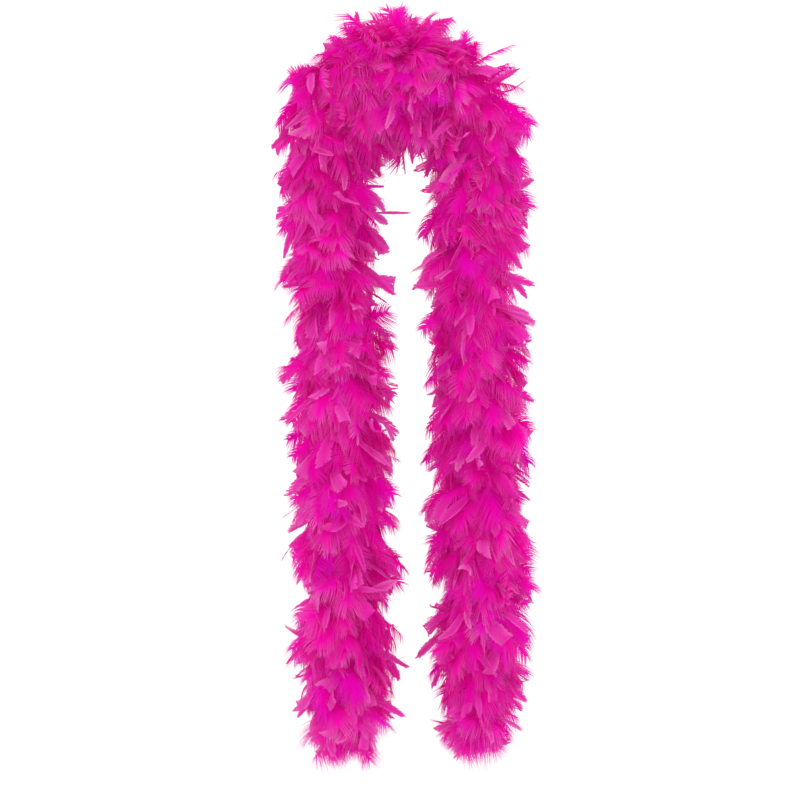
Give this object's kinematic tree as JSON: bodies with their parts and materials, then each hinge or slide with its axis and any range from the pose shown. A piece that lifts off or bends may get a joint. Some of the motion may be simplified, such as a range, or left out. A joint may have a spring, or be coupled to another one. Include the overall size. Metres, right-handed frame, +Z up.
{
  "type": "feather boa",
  "caption": "Feather boa draped in an arch: dyed down and flat lance feathers bound in whorls along a twisted core cord, with legs that swing and bend.",
  "frame": {"origin": "centre of the core cord at the top of the arch, where a neck, hook or peg holds the boa", "axes": "+Z up, away from the two hanging ends; +X from the left leg to the right leg as seen from the front; +Y to the back, the way a viewer in front looks"},
  "size_m": [0.3117, 0.1549, 0.9363],
  "materials": {
    "down": "dyed marabou down, hot pink",
    "vane": "dyed flat feather vane, satin hot pink",
    "quill": "dyed quill",
    "core_cord": "twisted cotton cord, dyed",
    "thread": "cotton thread, dyed"
  },
  "bodies": {
    "arch": {"core_cord_arch": "core_cord", "quill_roots_arch": "quill", "binding_thread_arch": "thread", "down_plumes_arch": "down", "flat_feathers_arch": "vane"},
    "left_upper": {"core_cord_left_upper": "core_cord", "quill_roots_left_upper": "quill", "binding_thread_left_upper": "thread", "down_plumes_left_upper": "down", "flat_feathers_left_upper": "vane"},
    "left_middle": {"core_cord_left_middle": "core_cord", "quill_roots_left_middle": "quill", "binding_thread_left_middle": "thread", "down_plumes_left_middle": "down", "flat_feathers_left_middle": "vane"},
    "left_tail": {"core_cord_left_tail": "core_cord", "quill_roots_left_tail": "quill", "binding_thread_left_tail": "thread", "down_plumes_left_tail": "down", "flat_feathers_left_tail": "vane", "end_whipping_left": "thread", "end_knot_left": "core_cord"},
    "right_upper": {"core_cord_right_upper": "core_cord", "quill_roots_right_upper": "quill", "binding_thread_right_upper": "thread", "down_plumes_right_upper": "down", "flat_feathers_right_upper": "vane"},
    "right_middle": {"core_cord_right_middle": "core_cord", "quill_roots_right_middle": "quill", "binding_thread_right_middle": "thread", "down_plumes_right_middle": "down", "flat_feathers_right_middle": "vane"},
    "right_tail": {"core_cord_right_tail": "core_cord", "quill_roots_right_tail": "quill", "binding_thread_right_tail": "thread", "down_plumes_right_tail": "down", "flat_feathers_right_tail": "vane", "end_whipping_right": "thread", "end_knot_right": "core_cord"}
  },
  "joints": [
    {"name": "left_leg_swing", "type": "hinge", "parent": "arch", "child": "left_upper", "pos_m": [-0.096, 0, -0.12], "axis": [1, 0, 0], "range_deg": [-40, 40]},
    {"name": "left_leg_sway", "type": "hinge", "parent": "left_upper", "child": "left_middle", "pos_m": [-0.082, 0, -0.335], "axis": [0, 1, 0], "range_deg": [-2, 40]},
    {"name": "left_tail_bend", "type": "hinge", "parent": "left_middle", "child": "left_tail", "pos_m": [-0.076, 0, -0.58], "axis": [1, 0, 0], "range_deg": [-40, 40]},
    {"name": "right_leg_swing", "type": "hinge", "parent": "arch", "child": "right_upper", "pos_m": [0.089, 0, -0.12], "axis": [1, 0, 0], "range_deg": [-40, 40]},
    {"name": "right_leg_sway", "type": "hinge", "parent": "right_upper", "child": "right_middle", "pos_m": [0.088, 0, -0.335], "axis": [0, -1, 0], "range_deg": [-2, 40]},
    {"name": "right_tail_bend", "type": "hinge", "parent": "right_middle", "child": "right_tail", "pos_m": [0.093, 0, -0.58], "axis": [1, 0, 0], "range_deg": [-40, 40]}
  ]
}
